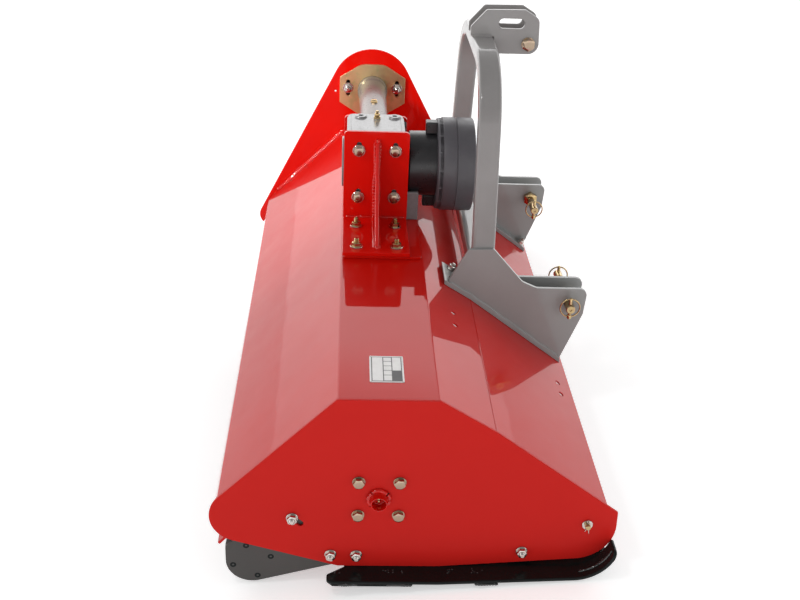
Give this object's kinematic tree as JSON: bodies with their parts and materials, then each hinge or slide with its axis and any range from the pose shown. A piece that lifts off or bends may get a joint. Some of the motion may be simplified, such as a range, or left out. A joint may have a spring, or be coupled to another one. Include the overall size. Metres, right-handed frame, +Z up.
{
  "type": "tractor mulcher",
  "caption": "Tractor-mounted flail mulcher with a folded hood over a hammer rotor, side gear drive under a belt cover, rear roller, skids and a three-point hitch hoop.",
  "frame": {"origin": "middle of the plan at ground level, with the machine standing on its roller and skid noses", "axes": "+X to the machine's right-hand side, +Y forward to the tractor, +Z up"},
  "size_m": [1.7562, 0.8944, 0.9709],
  "materials": {
    "belt_rubber": "matt black rubber",
    "black_plastic": "moulded black",
    "bright_zinc": "bright zinc plating",
    "dark_cast_iron": "dark cast finish",
    "dark_grey_paint": "satin dark grey paint",
    "gloss_black_paint": "gloss black paint",
    "grey_cast_iron": "grey painted casting",
    "grey_paint": "satin grey paint",
    "machined_steel": "bare machined steel",
    "red_paint": "gloss red paint",
    "yellow_zinc": "yellow zinc plating"
  },
  "bodies": {
    "frame": {"bearing_housing_left": "red_paint", "bearing_housing_right": "red_paint", "belt_cover": "red_paint", "drive_belt_1": "belt_rubber", "drive_belt_2": "belt_rubber", "drive_belt_3": "belt_rubber", "end_plate_left": "red_paint", "end_plate_right": "red_paint", "flap_rod": "bright_zinc", "gearbox_bracket_left": "red_paint", "gearbox_bracket_right": "red_paint", "gearbox_housing": "grey_cast_iron", "gearbox_rear_cover": "grey_cast_iron", "hitch_arch": "grey_paint", "hitch_cross_tube": "grey_paint", "hood_doubler": "red_paint", "hood_shell": "red_paint", "lower_bracket_left": "grey_paint", "lower_bracket_right": "grey_paint", "pto_guard_collar": "black_plastic", "pto_guard_drum": "black_plastic", "roller_arm_left": "dark_grey_paint", "roller_arm_right": "dark_grey_paint", "roller_bearing_left": "dark_grey_paint", "roller_bearing_right": "dark_grey_paint", "scraper_bar": "red_paint", "shaft_tube": "grey_cast_iron", "skid_left": "gloss_black_paint", "skid_right": "gloss_black_paint", "top_link_bolt": "yellow_zinc", "top_link_plate_left": "grey_paint", "top_link_plate_right": "grey_paint", "tube_flange": "yellow_zinc"},
    "rotor_drum": {"rotor": "red_paint", "lower_pulley": "dark_cast_iron"},
    "cross_drive": {"cross_shaft": "machined_steel", "upper_pulley": "dark_cast_iron"},
    "input_drive": {"pto_shaft": "machined_steel", "input_gear": "machined_steel"},
    "roller": {"rear_roller": "dark_grey_paint"},
    "hammer_01": {"hammer_01": "dark_cast_iron"},
    "hammer_02": {"hammer_02": "dark_cast_iron"},
    "hammer_03": {"hammer_03": "dark_cast_iron"},
    "hammer_04": {"hammer_04": "dark_cast_iron"},
    "hammer_05": {"hammer_05": "dark_cast_iron"},
    "hammer_06": {"hammer_06": "dark_cast_iron"},
    "hammer_07": {"hammer_07": "dark_cast_iron"},
    "hammer_08": {"hammer_08": "dark_cast_iron"},
    "hammer_09": {"hammer_09": "dark_cast_iron"},
    "hammer_10": {"hammer_10": "dark_cast_iron"},
    "hammer_11": {"hammer_11": "dark_cast_iron"},
    "hammer_12": {"hammer_12": "dark_cast_iron"},
    "front_flap_1": {"front_flap_1": "bright_zinc"},
    "front_flap_2": {"front_flap_2": "bright_zinc"},
    "front_flap_3": {"front_flap_3": "bright_zinc"},
    "front_flap_4": {"front_flap_4": "bright_zinc"},
    "front_flap_5": {"front_flap_5": "bright_zinc"},
    "front_flap_6": {"front_flap_6": "bright_zinc"},
    "lower_pin_left": {"lower_pin_left": "yellow_zinc"},
    "lower_pin_right": {"lower_pin_right": "yellow_zinc"}
  },
  "joints": [
    {"name": "rotor_spin", "type": "hinge", "parent": "frame", "child": "rotor_drum", "pos_m": [0.02815, -0.08268, 0.20991], "axis": [1, 0, 0], "continuous": true},
    {"name": "cross_shaft_spin", "type": "hinge", "parent": "frame", "child": "cross_drive", "pos_m": [-0.12885, -0.05044, 0.579], "axis": [1, 0, 0], "continuous": true},
    {"name": "input_spin", "type": "hinge", "parent": "frame", "child": "input_drive", "pos_m": [-0.12885, -0.05044, 0.579], "axis": [0, 0.9962, -0.087], "continuous": true},
    {"name": "roller_spin", "type": "hinge", "parent": "frame", "child": "roller", "pos_m": [0.02515, -0.35851, 0.06284], "axis": [1, 0, 0], "continuous": true},
    {"name": "hammer_01_swing", "type": "hinge", "parent": "rotor_drum", "child": "hammer_01", "pos_m": [-0.64035, -0.02328, 0.15051], "axis": [1, 0, 0], "range_deg": [-65, 155]},
    {"name": "hammer_02_swing", "type": "hinge", "parent": "rotor_drum", "child": "hammer_02", "pos_m": [-0.51935, -0.02328, 0.2693], "axis": [1, 0, 0], "range_deg": [0, 220]},
    {"name": "hammer_03_swing", "type": "hinge", "parent": "rotor_drum", "child": "hammer_03", "pos_m": [-0.39835, -0.14207, 0.2693], "axis": [1, 0, 0], "range_deg": [-220, 0]},
    {"name": "hammer_04_swing", "type": "hinge", "parent": "rotor_drum", "child": "hammer_04", "pos_m": [-0.27735, -0.14207, 0.15051], "axis": [1, 0, 0], "range_deg": [-155, 65]},
    {"name": "hammer_05_swing", "type": "hinge", "parent": "rotor_drum", "child": "hammer_05", "pos_m": [-0.15635, -0.02328, 0.15051], "axis": [1, 0, 0], "range_deg": [-65, 155]},
    {"name": "hammer_06_swing", "type": "hinge", "parent": "rotor_drum", "child": "hammer_06", "pos_m": [-0.03535, -0.02328, 0.2693], "axis": [1, 0, 0], "range_deg": [0, 220]},
    {"name": "hammer_07_swing", "type": "hinge", "parent": "rotor_drum", "child": "hammer_07", "pos_m": [0.08565, -0.14207, 0.2693], "axis": [1, 0, 0], "range_deg": [-220, 0]},
    {"name": "hammer_08_swing", "type": "hinge", "parent": "rotor_drum", "child": "hammer_08", "pos_m": [0.20665, -0.14207, 0.15051], "axis": [1, 0, 0], "range_deg": [-155, 65]},
    {"name": "hammer_09_swing", "type": "hinge", "parent": "rotor_drum", "child": "hammer_09", "pos_m": [0.32765, -0.02328, 0.15051], "axis": [1, 0, 0], "range_deg": [-65, 155]},
    {"name": "hammer_10_swing", "type": "hinge", "parent": "rotor_drum", "child": "hammer_10", "pos_m": [0.44865, -0.02328, 0.2693], "axis": [1, 0, 0], "range_deg": [0, 220]},
    {"name": "hammer_11_swing", "type": "hinge", "parent": "rotor_drum", "child": "hammer_11", "pos_m": [0.56965, -0.14207, 0.2693], "axis": [1, 0, 0], "range_deg": [-220, 0]},
    {"name": "hammer_12_swing", "type": "hinge", "parent": "rotor_drum", "child": "hammer_12", "pos_m": [0.69065, -0.14207, 0.15051], "axis": [1, 0, 0], "range_deg": [-155, 65]},
    {"name": "front_flap_1_swing", "type": "hinge", "parent": "frame", "child": "front_flap_1", "pos_m": [-0.61277, 0.34827, 0.11004], "axis": [1, 0, 0], "range_deg": [-80, 30]},
    {"name": "front_flap_2_swing", "type": "hinge", "parent": "frame", "child": "front_flap_2", "pos_m": [-0.3576, 0.34827, 0.11004], "axis": [1, 0, 0], "range_deg": [-80, 30]},
    {"name": "front_flap_3_swing", "type": "hinge", "parent": "frame", "child": "front_flap_3", "pos_m": [-0.10243, 0.34827, 0.11004], "axis": [1, 0, 0], "range_deg": [-80, 30]},
    {"name": "front_flap_4_swing", "type": "hinge", "parent": "frame", "child": "front_flap_4", "pos_m": [0.15273, 0.34827, 0.11004], "axis": [1, 0, 0], "range_deg": [-80, 30]},
    {"name": "front_flap_5_swing", "type": "hinge", "parent": "frame", "child": "front_flap_5", "pos_m": [0.4079, 0.34827, 0.11004], "axis": [1, 0, 0], "range_deg": [-80, 30]},
    {"name": "front_flap_6_swing", "type": "hinge", "parent": "frame", "child": "front_flap_6", "pos_m": [0.66307, 0.34827, 0.11004], "axis": [1, 0, 0], "range_deg": [-80, 30]},
    {"name": "lower_pin_left_turn", "type": "hinge", "parent": "frame", "child": "lower_pin_left", "pos_m": [-0.47035, 0.40338, 0.32155], "axis": [1, 0, 0], "continuous": true},
    {"name": "lower_pin_right_turn", "type": "hinge", "parent": "frame", "child": "lower_pin_right", "pos_m": [0.21265, 0.40338, 0.32155], "axis": [1, 0, 0], "continuous": true}
  ],
  "couplings": [
    {"joint": "cross_shaft_spin", "follows": "rotor_spin", "ratio": 0.73529},
    {"joint": "input_spin", "follows": "rotor_spin", "ratio": 0.2451}
  ]
}
